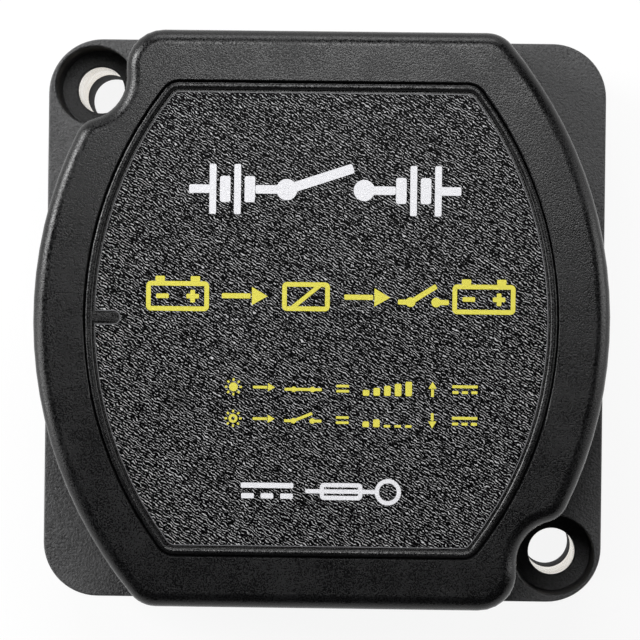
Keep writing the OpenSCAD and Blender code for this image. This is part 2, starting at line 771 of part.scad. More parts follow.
module bobbin() {
    color("#e8e2d0") difference() {
        translate([0, 0, bobbin_z]) {
            ring(coil_d / 2, bobbin_bore_r, flange_t);
            ring(bobbin_core_r, bobbin_bore_r, coil_h);
            translate([0, 0, coil_h - flange_t]) ring(coil_d / 2, bobbin_bore_r, flange_t);
            translate([bobbin_core_r, -coil_ear_w / 2, 0])
                cube([coil_d / 2 + coil_ear_l - bobbin_core_r, coil_ear_w, flange_t]);
        }
        for (s = [-1, 1]) translate([pin_x, s * pin_pitch / 2, bobbin_z - overrun])
            cylinder(r = pin_r + press, h = flange_t + 2 * overrun);
    }
}

module coil_winding() {
    color("#9c4a1a") translate([0, 0, bobbin_z + flange_t + press])
        ring(coil_d / 2 - winding_inset, bobbin_core_r + press, coil_h - 2 * flange_t - 2 * press);
}

module coil_pins() {
    color(silver) for (s = [-1, 1]) translate([pin_x, s * pin_pitch / 2, pcb_z - pin_tail])
        cylinder(r = pin_r, h = bobbin_z + flange_t + pin_tail - pcb_z + pin_tail, $fn = 24);
}

module plunger() {
    color(steel) difference() {
        translate([0, 0, plunger_z]) cylinder(r = plunger_r, h = plunger_top - plunger_z);
        translate([0, 0, plunger_z - overrun]) cylinder(r = rod_top_r + press, h = plunger_top - plunger_z + 2 * overrun);
        translate([0, 0, plunger_z - overrun]) cylinder(r = return_seat_r, h = plunger_seat_depth + overrun);
    }
}

clip_z = bridge_z - bush_flange_t - clip_t;

// Push rod: thick in the plunger and the pole, thin below, grooved for its clip
module plunger_rod() {
    color(silver) difference() {
        union() {
            translate([0, 0, clip_z - rod_tail]) cylinder(r = rod_r, h = collar_z + collar_t - clip_z + rod_tail);
            translate([0, 0, collar_z + collar_t]) cylinder(r = rod_top_r, h = plunger_top - collar_z - collar_t);
        }
        translate([0, 0, clip_z]) ring(rod_r + overrun, rod_r - clip_groove, clip_t);
    }
}

module return_spring() {
    bottom = pole_top - return_seat_depth;
    color(silver) translate([0, 0, bottom])
        coil_spring(return_coil_r, return_wire, return_turns, plunger_z + plunger_seat_depth - bottom);
}

module spring_collar() {
    color(zinc) translate([0, 0, collar_z]) ring(collar_r, rod_r + press, collar_t);
}

module retaining_clip() {
    color(zinc) translate([0, 0, clip_z]) difference() {
        ring(clip_r, rod_r - clip_groove + press, clip_t);
        translate([-clip_mouth / 2, -clip_r - overrun, -overrun])
            cube([clip_mouth, clip_r + overrun, clip_t + 2 * overrun]);
    }
}

module contact_spring() {
    bottom = bridge_z + bridge_t + disc_t;
    color(silver) translate([0, 0, bottom])
        coil_spring(contact_coil_r, contact_wire, contact_turns, collar_z - bottom);
}

module insulating_disc() {
    color("#7a2f22") translate([0, 0, bridge_z + bridge_t]) ring(bush_flange_r, rod_r + slip, disc_t);
}

// Copper bridge that joins the two studs when the plunger pulls in
module contact_bridge() {
    color(copper) translate([0, 0, bridge_z]) difference() {
        linear_extrude(bridge_t) {
            square([2 * stud_x, bridge_w], center = true);
            at_studs() circle(bridge_end);
            square([2 * (stud_x + bridge_end) - bridge_w / 2, bridge_w / 2], center = true);
        }
        translate([0, 0, -overrun]) cylinder(r = bush_r + slip, h = bridge_t + 2 * overrun);
    }
}

module moving_tips() {
    color(silver) at_studs() translate([0, 0, moving_tip_z]) cylinder(r = tip_r, h = tip_t);
}

module insulating_bush() {
    color("#7a2f22") translate([0, 0, bridge_z - bush_flange_t]) difference() {
        union() {
            cylinder(r = bush_flange_r, h = bush_flange_t);
            cylinder(r = bush_r, h = bush_flange_t + bridge_t);
        }
        translate([0, 0, -overrun]) cylinder(r = rod_r + slip, h = bush_flange_t + bridge_t + 2 * overrun);
    }
}

// Board shaped to the bulged front, with a window for the contactor
module circuit_board() {
    color(board_green) translate([0, 0, pcb_z]) difference() {
        linear_extrude(pcb_t) polygon(barrel(pcb_inset, barrel_corner_r, true));
        translate([-yoke_w / 2 - pcb_gap, -leg_y - yoke_t - pcb_gap, -overrun])
            cube([yoke_w + 2 * pcb_gap, 2 * (leg_y + yoke_t + pcb_gap), pcb_t + 2 * overrun]);
        at_pillars() translate([0, 0, -overrun]) cylinder(r = screw_hole_r, h = pcb_t + 2 * overrun);
        for (s = [-1, 1]) {
            translate([pin_x, s * pin_pitch / 2, -overrun])
                cylinder(r = pin_r + slip, h = pcb_t + 2 * overrun, $fn = 24);
            translate([s * (stud_x + tag_arm - tag_t / 2) - tag_t / 2 - slip, -blade_w / 2 - slip, -overrun])
                cube([tag_t + 2 * slip, blade_w + 2 * slip, pcb_t + 2 * overrun]);
            translate([ground_place.x + s * ground_tab.x / 4, ground_place.y, -overrun])
                cylinder(r = pin_r + slip, h = pcb_t + 2 * overrun, $fn = 24);
        }
    }
}

module box_on_board(size) translate([-size.x / 2, -size.y / 2, 0]) cube(size);

// Leads along both long sides of a package, standing on the board
module side_leads(size, lead, pitch, count) {
    for (s = [0, 180], i = [0 : count - 1]) rotate(s)
        translate([size.x / 2 - lead.x / 4, (i - (count - 1) / 2) * pitch - lead.y / 2, 0]) cube(lead);
}

module control_chip() {
    color("#222222") translate([chip_place.x, chip_place.y, pcb_top]) {
        translate([0, 0, chip_lead.z / 2]) box_on_board(chip_size - [0, 0, chip_lead.z / 2]);
        side_leads(chip_size, chip_lead, chip_pitch, 4);
        box_on_board([chip_size.x, chip_size.y / 2, chip_lead.z]);
    }
}

// A power package: tab on one side, leads on the other
module power_package(size, tab, lead, pitch, leads) {
    box_on_board(size);
    translate([-size.x / 2 - tab.x, -tab.y / 2, 0]) cube([tab.x + size.x / 2, tab.y, tab.z]);
    for (i = [0 : leads - 1]) translate([0, (i - (leads - 1) / 2) * pitch - lead.y / 2, 0])
        cube([size.x / 2 + lead.x, lead.y, lead.z]);
}

module coil_driver() {
    color("#222222") translate([driver_place.x, driver_place.y, pcb_top])
        power_package(driver_size, driver_tab, driver_lead, driver_pitch, 2);
}

module voltage_regulator() {
    color("#222222") translate([regulator_place.x, regulator_place.y, pcb_top])
        power_package(regulator_size, regulator_tab, regulator_lead, regulator_pitch, 3);
}

module flyback_diode() {
    color("#222222") translate([diode_place.x, diode_place.y, pcb_top]) {
        box_on_board(diode_size);
        box_on_board([diode_lead.x, diode_size.y + 2 * diode_lead.y, diode_lead.z]);
    }
}

module smoothing_capacitor() {
    color("#26324a") translate([can_place.x, can_place.y, pcb_top]) {
        cylinder(r = can_r - can_bead, h = can_h);
        cylinder(r = can_r, h = can_seat_h);
        translate([0, 0, 2 * can_seat_h]) cylinder(r = can_r, h = can_h - 2 * can_seat_h - can_bead);
    }
}

module surge_varistor() {
    color("#b5651d") translate([varistor_place.x, varistor_place.y, pcb_top]) {
        translate([0, varistor_t / 2, varistor_lead_h + disc_r]) rotate([90, 0, 0]) cylinder(r = disc_r, h = varistor_t);
        for (s = [-1, 1]) translate([s * disc_r / 2, 0, 0])
            cylinder(r = pin_r, h = varistor_lead_h + disc_r, $fn = 24);
    }
}

module chip_row(place, size, cap, pitch, count) {
    for (i = [0 : count - 1]) translate([place.x, place.y + i * pitch, pcb_top]) {
        box_on_board([size.x, size.y, size.z]);
        for (s = [-1, 1]) translate([s * (size.x - cap) / 2, 0, 0])
            box_on_board([cap, size.y + cap / 5, size.z + cap / 10]);
    }
}

module resistors() {
    color("#30302e") chip_row(resistor_place, resistor_size, resistor_cap, resistor_pitch, resistor_count);
}

module ceramic_capacitors() {
    color("#a58a63") chip_row(ceramic_place, ceramic_size, resistor_cap, ceramic_pitch, ceramic_count);
}

module indicator_lamp() {
    color("#c8281e") translate([led.x, led.y, pcb_top]) {
        cylinder(r = led_flange_r, h = led_flange_h);
        cylinder(r = led_r, h = led_h);
        translate([0, 0, led_h]) intersection() {
            sphere(r = led_r);
            translate([-led_r, -led_r, 0]) cube([2 * led_r, 2 * led_r, led_r]);
        }
    }
}

// Clear rod that carries the lamp's light to the back of the label
module light_pipe() {
    bottom = pcb_top + led_h + led_r + pipe_gap;
    color("#e6eef2") translate([led.x, led.y, 0]) {
        translate([0, 0, bottom]) cylinder(r = pipe_r, h = label_z - bottom);
        translate([0, 0, cover_under - pipe_flange_t]) cylinder(r = pipe_flange_r, h = pipe_flange_t);
    }
}

module earth_tab() {
    color(silver) translate([ground_place.x, ground_place.y, pcb_top]) {
        box_on_board(ground_tab);
        for (s = [-1, 1]) translate([s * ground_tab.x / 4, 0, -pcb_t])
            cylinder(r = pin_r, h = pcb_t + ground_tab.z / 2, $fn = 24);
    }
}

front_cover();
front_panel();
label();
main_housing();
rear_frame();
mounting_sleeves();
earth_gland();
case_screws();
frame_screws();
stud(-1);  // stud_left
stud(1);  // stud_right
clamp_nuts();
flat_washers();
spring_washers();
terminal_nuts();
sensing_tags();
fixed_tips();
yoke();
yoke_screws();
pole_plate();
pole_piece();
guide_tube();
bobbin();
coil_winding();
coil_pins();
plunger();
plunger_rod();
return_spring();
spring_collar();
retaining_clip();
contact_spring();
insulating_disc();
contact_bridge();
moving_tips();
insulating_bush();
circuit_board();
control_chip();
coil_driver();
voltage_regulator();
flyback_diode();
smoothing_capacitor();
surge_varistor();
resistors();
ceramic_capacitors();
indicator_lamp();
light_pipe();
earth_tab();
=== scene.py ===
import math
from itertools import count

import bmesh
import bpy
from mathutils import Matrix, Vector


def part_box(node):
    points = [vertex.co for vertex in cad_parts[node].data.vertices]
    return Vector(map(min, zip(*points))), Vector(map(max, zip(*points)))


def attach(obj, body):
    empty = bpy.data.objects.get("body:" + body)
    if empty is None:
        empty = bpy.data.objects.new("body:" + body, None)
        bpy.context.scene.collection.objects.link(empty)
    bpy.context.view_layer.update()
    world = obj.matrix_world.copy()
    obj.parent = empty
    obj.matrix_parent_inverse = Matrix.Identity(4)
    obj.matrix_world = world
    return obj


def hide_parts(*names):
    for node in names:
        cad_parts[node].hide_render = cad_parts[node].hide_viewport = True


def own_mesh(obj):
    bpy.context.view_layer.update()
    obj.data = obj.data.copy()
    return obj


# The looks of a battery isolator relay that lies on its back, seen from straight above

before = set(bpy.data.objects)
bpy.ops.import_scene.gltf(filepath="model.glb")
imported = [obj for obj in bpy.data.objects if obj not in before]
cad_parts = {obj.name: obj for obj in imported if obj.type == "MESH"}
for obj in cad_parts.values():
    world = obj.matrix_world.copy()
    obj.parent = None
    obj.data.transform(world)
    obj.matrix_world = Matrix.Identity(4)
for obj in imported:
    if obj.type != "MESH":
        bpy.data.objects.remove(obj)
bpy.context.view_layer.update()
mm = 0.001
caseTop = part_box("main_housing")[1].z
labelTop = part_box("label")[1].z
print("frame loaded:", len(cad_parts), "nodes")


# camera: above the label, a little to the right, as in the photo
cameraSettings = {
    "place": (11.0 * mm, -1.0 * mm, 490.0 * mm),
    "tiltDegrees": 1.1,
    "rollDegrees": 0.70,
    "lens": 211.0,
    "shift": (-0.0352, 0.0148),
    "clip": (0.01, 10),
}


def addCamera(s):
    cameraData = bpy.data.cameras.new("photoCamera")
    cameraData.lens = s["lens"]
    cameraData.shift_x, cameraData.shift_y = s["shift"]
    cameraData.clip_start, cameraData.clip_end = s["clip"]
    camera = bpy.data.objects.new("photoCamera", cameraData)
    bpy.context.scene.collection.objects.link(camera)
    camera.location = s["place"]
    camera.rotation_euler = (0, math.radians(s["tiltDegrees"]), math.radians(s["rollDegrees"]))
    bpy.context.scene.camera = camera


addCamera(cameraSettings)
print("camera set")


# lamps: a soft box at the upper left, a small one over the label, and strips at three sides
lampSettings = [
    {"name": "windowLamp", "place": (-0.40, 0.16, 0.26), "size": (0.22, 0.22), "watts": 2.5},
    {"name": "backLamp", "place": (0.0, 0.115, 0.38), "size": (0.12, 0.12), "watts": 0.50},
    {"name": "rightLamp", "place": (0.40, 0.04, 0.20), "size": (0.18, 0.30), "watts": 0.6},
    {"name": "leftLamp", "place": (-0.42, -0.06, 0.10), "size": (0.10, 0.40), "watts": 0.7},
    {"name": "topLamp", "place": (0.0, 0.42, 0.22), "size": (0.34, 0.14), "watts": 0.9},
]


def addLamps(lamps):
    target = Vector((0, 0, caseTop))
    for s in lamps:
        lampData = bpy.data.lights.new(s["name"], "AREA")
        lampData.shape = "RECTANGLE"
        lampData.size, lampData.size_y = s["size"]
        lampData.energy = s["watts"]
        lamp = bpy.data.objects.new(s["name"], lampData)
        bpy.context.scene.collection.objects.link(lamp)
        lamp.location = s["place"]
        lamp.rotation_euler = (target - lamp.location).to_track_quat("-Z", "Y").to_euler()
        lamp.visible_camera = False


addLamps(lampSettings)
print("lamps set")


# small steps that the pieces share
meshSettings = {"mergeBelow": 0.0001 * mm, "flatWithin": 0.5}


def deselectAll():
    if bpy.context.object and bpy.context.object.mode != "OBJECT":
        bpy.ops.object.mode_set(mode="OBJECT")
    bpy.ops.object.select_all(action="DESELECT")


def makeActive(piece):
    deselectAll()
    piece.select_set(True)
    bpy.context.view_layer.objects.active = piece


def editOn(piece):
    makeActive(piece)
    bpy.ops.object.mode_set(mode="EDIT")


def editOff():
    bpy.ops.object.mode_set(mode="OBJECT")


def tidyNormals(piece):
    editOn(piece)
    bpy.ops.mesh.select_all(action="SELECT")
    bpy.ops.mesh.remove_doubles(threshold=meshSettings["mergeBelow"])
    bpy.ops.mesh.normals_make_consistent(inside=False)
    editOff()


def joinFlatFaces(piece):
    editOn(piece)
    bpy.ops.mesh.select_all(action="SELECT")
    bpy.ops.mesh.dissolve_limited(angle_limit=math.radians(meshSettings["flatWithin"]))
    bpy.ops.mesh.select_all(action="DESELECT")
    editOff()


def smoothBy(piece, degrees):
    makeActive(piece)
    bpy.ops.object.shade_smooth_by_angle(angle=math.radians(degrees))


def finishPiece(piece, name, body, material):
    makeActive(piece)
    bpy.ops.object.transform_apply(location=True, rotation=True, scale=True)
    piece.name = name
    piece.data.name = name
    piece.data.materials.clear()
    piece.data.materials.append(material)
    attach(piece, body)


def copyNode(nodeName, pieceName):
    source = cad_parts[nodeName]
    piece = source.copy()
    piece.data = source.data.copy()
    piece.name = pieceName
    bpy.context.scene.collection.objects.link(piece)
    return piece


# an empty mesh, left in edit mode
def startPiece(height=0.0):
    deselectAll()
    bpy.ops.mesh.primitive_plane_add(size=mm, location=(0, 0, height))
    piece = bpy.context.object
    editOn(piece)
    bpy.ops.mesh.select_all(action="SELECT")
    bpy.ops.mesh.delete(type="VERT")
    return piece


# material building

def newMaterial(name):
    material = bpy.data.materials.new(name)
    material.use_nodes = True
    tree = material.node_tree
    return material, tree, tree.nodes["Principled BSDF"]


def addNode(tree, kind, inputs=None, **settings):
    node = tree.nodes.new(kind)
    for key, value in settings.items():
        setattr(node, key, value)
    for key, value in (inputs or {}).items():
        if hasattr(value, "is_output"):
            tree.links.new(value, node.inputs[key])
        else:
            node.inputs[key].default_value = value
    return node


def objectPoint(tree):
    return addNode(tree, "ShaderNodeTexCoord").outputs["Object"]


def mathOf(tree, operation, *values):
    return addNode(tree, "ShaderNodeMath", dict(enumerate(values)), operation=operation).outputs[0]


def vectorOf(tree, operation, *values):
    return addNode(tree, "ShaderNodeVectorMath", dict(enumerate(values)), operation=operation).outputs


def remap(tree, value, fromRange, toRange=(0.0, 1.0)):
    return addNode(tree, "ShaderNodeMapRange", {
        "Value": value, "From Min": fromRange[0], "From Max": fromRange[1],
        "To Min": toRange[0], "To Max": toRange[1]}).outputs[0]


def noise(tree, point, scale, detail, roughness=0.5):
    return addNode(tree, "ShaderNodeTexNoise", {
        "Vector": point, "Scale": scale, "Detail": detail, "Roughness": roughness}).outputs["Fac"]


def mixColour(tree, share, first, second):
    values = {0: share, 6: first, 7: second}
    return addNode(tree, "ShaderNodeMix", values, data_type="RGBA").outputs[2]


def newGroup(name, inputs, outputs):
    group = bpy.data.node_groups.new(name, "ShaderNodeTree")
    kinds = {"float": "NodeSocketFloat", "color": "NodeSocketColor", "vector": "NodeSocketVector"}
    for key, kind in inputs:
        group.interface.new_socket(key, in_out="INPUT", socket_type=kinds[kind])
    for key, kind in outputs:
        group.interface.new_socket(key, in_out="OUTPUT", socket_type=kinds[kind])
    return group, group.nodes.new("NodeGroupInput").outputs, group.nodes.new("NodeGroupOutput")


def giveOut(group, result, values):
    for key, value in values.items():
        group.links.new(value, result.inputs[key])


def dressShader(tree, shader, texture):
    sockets = {"Colour": "Base Color", "Roughness": "Roughness", "Normal": "Normal"}
    for output, socket in sockets.items():
        tree.links.new(texture.outputs[output], shader.inputs[socket])


def bumpOf(tree, height, distance):
    return addNode(tree, "ShaderNodeBump", {"Height": height, "Distance": distance}).outputs[0]


# spark-eroded mould texture: fine pits, smoother patches and a little pale dust
mouldSettings = {
    "fineDetail": 2.0, "fineRoughness": 0.6, "fineRange": (0.3, 0.7),
    "patchScale": 160.0, "patchDetail": 4.0, "patchRoughness": 0.55, "patchRange": (0.35, 0.65),
    "patchShare": 0.35, "roughSwing": 0.3,
    "dustScale": 420.0, "dustRare": (0.90, 0.94), "dustEdge": (0.05, 0.09),
    "dustColour": (0.35, 0.34, 0.32, 1),
}


def buildMouldTexture(s):
    group, given, result = newGroup(
        "mouldTexture",
        [("Colour", "color"), ("Roughness", "float"), ("Grain size", "float"), ("Depth", "float"),
         ("Mottle", "float"), ("Dust", "float")],
        [("Colour", "color"), ("Roughness", "float"), ("Normal", "vector")])
    point = objectPoint(group)
    perMetre = mathOf(group, "DIVIDE", 1 / mm, given["Grain size"])
    fine = noise(group, point, perMetre, s["fineDetail"], s["fineRoughness"])
    patches = noise(group, point, s["patchScale"], s["patchDetail"], s["patchRoughness"])
    mottle = remap(group, patches, s["patchRange"], (-1.0, 1.0))
    speck = remap(group, fine, s["fineRange"], (-1.0, 1.0))
    uneven = mathOf(group, "MULTIPLY_ADD", mottle, s["patchShare"], speck)
    amount = mathOf(group, "MULTIPLY", uneven, given["Mottle"])
    gain = mathOf(group, "ADD", amount, 1.0)
    tint = addNode(group, "ShaderNodeVectorMath", {0: given["Colour"], 3: gain}, operation="SCALE")
    crumbs = addNode(group, "ShaderNodeTexVoronoi", {"Vector": point, "Scale": s["dustScale"]})
    rare = remap(group, crumbs.outputs["Color"], s["dustRare"])
    small = remap(group, crumbs.outputs["Distance"], s["dustEdge"], (1.0, 0.0))
    dust = mathOf(group, "MULTIPLY", mathOf(group, "MULTIPLY", rare, small), given["Dust"])
    depth = mathOf(group, "MULTIPLY", given["Depth"], mm)
    giveOut(group, result, {
        "Colour": mixColour(group, dust, tint.outputs[0], s["dustColour"]),
        "Roughness": mathOf(group, "MULTIPLY_ADD", amount, s["roughSwing"], given["Roughness"]),
        "Normal": bumpOf(group, fine, depth)})
    return group


mouldTexture = buildMouldTexture(mouldSettings)


# grain and depth in millimetres
def mouldedPlastic(name, colour, roughness, grain=0.2, depth=0.01, mottle=0.08, dust=0.0,
                   gloss=0.5):
    material, tree, shader = newMaterial(name)
    dressShader(tree, shader, addNode(tree, "ShaderNodeGroup", {
        "Colour": (*colour, 1), "Roughness": roughness, "Grain size": grain, "Depth": depth,
        "Mottle": mottle, "Dust": dust}, node_tree=mouldTexture))
    shader.inputs["Specular IOR Level"].default_value = gloss
    return material


# the film's pressed grain: short wavy ridges that run down to the right
grainSettings = {
    "angle": -32.0, "pitch": 0.30, "ridge": (0.35, 0.95), "depth": 0.05, "detail": 1.0,
    "waviness": 2.0, "waveSize": 0.64,
    "breakLength": 0.22, "breakWidth": 0.17, "breaks": (0.42, 0.58),
}


def buildFilmGrain(s):
    group, given, result = newGroup("filmGrain", [], [("Height", "float")])
    laid = addNode(group, "ShaderNodeMapping", {
        "Vector": objectPoint(group), "Rotation": (0, 0, math.radians(s["angle"])),
        "Scale": (mm, mm, mm)}, vector_type="TEXTURE").outputs[0]
    across = addNode(group, "ShaderNodeSeparateXYZ", {0: laid}).outputs["Y"]
    wander = noise(group, laid, 1 / s["waveSize"], s["detail"])
    phase = mathOf(group, "MULTIPLY_ADD", wander, s["waviness"] * 2 * math.pi,
                  mathOf(group, "MULTIPLY", across, 2 * math.pi / s["pitch"]))
    wave = addNode(group, "ShaderNodeMath", {0: phase}, operation="SINE").outputs[0]
    stretched = addNode(group, "ShaderNodeMapping", {
        "Vector": laid, "Scale": (1 / s["breakLength"], 1 / s["breakWidth"], 1)}).outputs[0]
    kept = remap(group, noise(group, stretched, 1.0, s["detail"]), s["breaks"])
    ridge = remap(group, wave, s["ridge"])
    giveOut(group, result, {"Height": mathOf(group, "MULTIPLY", ridge, kept)})
    return group


filmGrain = buildFilmGrain(grainSettings)

# the grain's ridges get a bright colour as a painted highlight in place of their glints, the valleys
# stay near black; the lamp shows through the film as a faint round spot
filmSettings = {
    "valley": (0.0008, 0.0008, 0.0010, 1), "ridge": (0.58, 0.58, 0.59, 1),
    "roughness": 0.36, "gloss": 0.03,
    "lampPlace": (-16.9, -9.2), "lampRadius": 1.9, "lampEdge": 0.8, "lampRelief": 0.7,
}


def buildLabelFilm(s):
    material, tree, shader = newMaterial("labelFilm")
    height = addNode(tree, "ShaderNodeGroup", node_tree=filmGrain).outputs["Height"]
    centre = (s["lampPlace"][0] * mm, s["lampPlace"][1] * mm, 0)
    offset = vectorOf(tree, "SUBTRACT", objectPoint(tree), centre)[0]
    flat = vectorOf(tree, "MULTIPLY", offset, (1, 1, 0))[0]
    away = vectorOf(tree, "LENGTH", flat)["Value"]
    radius = s["lampRadius"] * mm
    window = remap(tree, away, (radius * s["lampEdge"], radius), (s["lampRelief"], 1.0))
    eased = mathOf(tree, "MULTIPLY", height, window)
    bump = bumpOf(tree, eased, grainSettings["depth"] * mm)
    # painted highlight: the colour runs from the near-black valleys to the bright ridges
    tree.links.new(mixColour(tree, eased, s["valley"], s["ridge"]), shader.inputs["Base Color"])
    tree.links.new(bump, shader.inputs["Normal"])
    shader.inputs["Roughness"].default_value = s["roughness"]
    shader.inputs["Specular IOR Level"].default_value = s["gloss"]
    return material


labelFilm = buildLabelFilm(filmSettings)

# ink follows the grain below it, with painted shade: a darker colour in the grain's valleys
printSettings = {"shade": 0.86, "depth": 0.03, "roughness": 0.55}


def printedInk(name, colour, s):
    material, tree, shader = newMaterial(name)
    height = addNode(tree, "ShaderNodeGroup", node_tree=filmGrain).outputs["Height"]
    shaded = [c * s["shade"] for c in colour]
    bump = bumpOf(tree, height, s["depth"] * mm)
    tree.links.new(mixColour(tree, height, (*shaded, 1), (*colour, 1)), shader.inputs["Base Color"])
    tree.links.new(bump, shader.inputs["Normal"])
    shader.inputs["Roughness"].default_value = s["roughness"]
    return material


whiteInk = printedInk("whiteInk", (0.80, 0.80, 0.83), printSettings)
yellowInk = printedInk("yellowInk", (0.72, 0.66, 0.07), printSettings)


# plated and bare metals: fine grain, a soft tarnish, and rings where a piece was turned
metalSettings = {
    "grainScale": 2400.0, "grainDetail": 3.0, "grainRoughness": 0.6,
    "cloudScale": 260.0, "cloudDetail": 3.0, "range": (0.3, 0.7),
    "ringStretch": (0.05, 0.05, 1.0), "ringScale": 3600.0, "ringDetail": 2.0,
    "share": 0.5, "roughSwing": -0.16, "roughLift": 0.08, "depth": 0.012,
}


def buildMetalGrain(s):
    group, given, result = newGroup(
        "metalGrain",
        [("Dark", "color"), ("Light", "color"), ("Roughness", "float"), ("Rings", "float")],
        [("Colour", "color"), ("Roughness", "float"), ("Normal", "vector")])
    point = objectPoint(group)
    grain = noise(group, point, s["grainScale"], s["grainDetail"], s["grainRoughness"])
    cloud = noise(group, point, s["cloudScale"], s["cloudDetail"])
    stretched = addNode(group, "ShaderNodeMapping", {"Vector": point, "Scale": s["ringStretch"]})
    rings = noise(group, stretched.outputs[0], s["ringScale"], s["ringDetail"])
    ringed = addNode(group, "ShaderNodeMix", {0: given["Rings"], 2: grain, 3: rings}).outputs[0]
    both = mathOf(group, "MULTIPLY_ADD", remap(group, ringed, s["range"]), s["share"],
                 mathOf(group, "MULTIPLY", remap(group, cloud, s["range"]), s["share"]))
    lifted = mathOf(group, "ADD", given["Roughness"], s["roughLift"])
    giveOut(group, result, {
        "Colour": mixColour(group, both, given["Dark"], given["Light"]),
        "Roughness": mathOf(group, "MULTIPLY_ADD", both, s["roughSwing"], lifted),
        "Normal": bumpOf(group, ringed, s["depth"] * mm)})
    return group


metalGrain = buildMetalGrain(metalSettings)


def metalFinish(name, dark, light, roughness, rings=0.0):
    material, tree, shader = newMaterial(name)
    dressShader(tree, shader, addNode(tree, "ShaderNodeGroup", {
        "Dark": (*dark, 1), "Light": (*light, 1), "Roughness": roughness, "Rings": rings},
        node_tree=metalGrain))
    shader.inputs["Metallic"].default_value = 1.0
    return material


casePlastic = mouldedPlastic("casePlastic", (0.050, 0.050, 0.051), 0.54,
                             grain=0.27, depth=0.13, mottle=0.50, dust=0.5)
framePlastic = mouldedPlastic("framePlastic", (0.013, 0.013, 0.0135), 0.70,
                              grain=0.24, depth=0.050, mottle=0.40, gloss=0.12)
frontPlastic = mouldedPlastic("frontPlastic", (0.0022, 0.0022, 0.0025), 0.28,
                              grain=0.18, depth=0.030, mottle=0.60, dust=0.7, gloss=0.36)
panelPlastic = mouldedPlastic("panelPlastic", (0.0028, 0.0028, 0.0031), 0.28,
                              grain=0.18, depth=0.030, mottle=0.60, dust=0.7, gloss=0.36)
glandRubber = mouldedPlastic("glandRubber", (0.018, 0.018, 0.019), 0.62, grain=0.25, depth=0.02,
                             mottle=0.15)
lacqueredWire = mouldedPlastic("lacqueredWire", (0.38, 0.12, 0.04), 0.28, grain=0.3, depth=0.03,
                               mottle=0.2)
bobbinPlastic = mouldedPlastic("bobbinPlastic", (0.60, 0.56, 0.44), 0.45)
phenolic = mouldedPlastic("phenolic", (0.26, 0.06, 0.035), 0.48)
boardGreen = mouldedPlastic("boardGreen", (0.02, 0.13, 0.06), 0.35)
chipBlack = mouldedPlastic("chipBlack", (0.02, 0.02, 0.02), 0.5)
canSleeve = mouldedPlastic("canSleeve", (0.02, 0.05, 0.13), 0.3)
dippedCoat = mouldedPlastic("dippedCoat", (0.50, 0.20, 0.04), 0.4)
firedCeramic = mouldedPlastic("firedCeramic", (0.42, 0.31, 0.19), 0.5)
lampRed = mouldedPlastic("lampRed", (0.55, 0.02, 0.015), 0.15)
clearRod = mouldedPlastic("clearRod", (0.70, 0.76, 0.78), 0.12)
zincPlate = metalFinish("zincPlate", (0.50, 0.50, 0.50), (0.76, 0.75, 0.73), 0.34)
turnedSleeve = metalFinish("turnedSleeve", (0.88, 0.78, 0.62), (1.0, 0.96, 0.88), 0.22, rings=0.9)
softIron = metalFinish("softIron", (0.30, 0.30, 0.31), (0.52, 0.52, 0.53), 0.38)
bareCopper = metalFinish("bareCopper", (0.50, 0.22, 0.12), (0.80, 0.45, 0.30), 0.34)
bareBrass = metalFinish("bareBrass", (0.56, 0.39, 0.15), (0.82, 0.64, 0.32), 0.30)
silverTip = metalFinish("silverTip", (0.70, 0.69, 0.67), (0.88, 0.87, 0.85), 0.36)
tinned = metalFinish("tinned", (0.58, 0.58, 0.58), (0.80, 0.80, 0.80), 0.30)
springSteel = metalFinish("springSteel", (0.42, 0.42, 0.43), (0.66, 0.66, 0.67), 0.28)

nodeFinish = {
    casePlastic: ["main_housing"],
    framePlastic: ["rear_frame"],
    frontPlastic: ["front_cover"],
    panelPlastic: ["front_panel"],
    labelFilm: ["label"],
    turnedSleeve: ["mounting_sleeves"],
    zincPlate: ["case_screws", "frame_screws", "yoke_screws", "plunger_rod", "spring_collar"],
    glandRubber: ["earth_gland"],
    bareCopper: ["stud_left", "stud_right", "contact_bridge"],
    bareBrass: ["clamp_nuts", "flat_washers", "terminal_nuts", "guide_tube"],
    springSteel: ["spring_washers", "return_spring", "contact_spring", "retaining_clip"],
    tinned: ["sensing_tags", "coil_pins", "earth_tab"],
    silverTip: ["fixed_tips", "moving_tips"],
    softIron: ["yoke", "pole_plate", "pole_piece", "plunger"],
    bobbinPlastic: ["bobbin"],
    lacqueredWire: ["coil_winding"],
    phenolic: ["insulating_disc", "insulating_bush"],
    boardGreen: ["circuit_board"],
    chipBlack: ["control_chip", "coil_driver", "voltage_regulator", "flyback_diode", "resistors"],
    canSleeve: ["smoothing_capacitor"],
    dippedCoat: ["surge_varistor"],
    firedCeramic: ["ceramic_capacitors"],
    lampRed: ["indicator_lamp"],
    clearRod: ["light_pipe"],
}


def dressNodes(finishes):
    for material, names in finishes.items():
        for name in names:
            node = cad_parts[name]
            node.data.materials.clear()
            node.data.materials.append(material)


dressNodes(nodeFinish)
print("CAD nodes dressed")


# mouldings: the plastic shells with their sharp edges rounded a little
mouldings = [
    {"node": "front_cover", "piece": "frontShell", "slot": "housing_plastic", "finish": frontPlastic,
     "edge": 0.12},
    {"node": "front_panel", "piece": "recessPanel", "slot": "panel_plastic", "finish": panelPlastic,
     "edge": 0.05, "grow": 0.15},
    {"node": "main_housing", "piece": "caseBody", "slot": "housing_plastic", "finish": casePlastic,
     "edge": 0.22},
    {"node": "rear_frame", "piece": "backFrame", "slot": "housing_plastic", "finish": framePlastic,
     "edge": 0.22},
]
edgeSettings = {"segments": 2, "sharpFrom": 50, "smooth": 38, "levelWeight": 100}


# the panel is spread a little, towards the wall of the recess that it sits in
def closeGap(piece, grow):
    share = 1 + grow * mm / max(v.co.x for v in piece.data.vertices)
    editOn(piece)
    bpy.ops.mesh.select_all(action="SELECT")
    bpy.ops.transform.resize(value=(share, share, 1), center_override=(0, 0, 0))
    editOff()


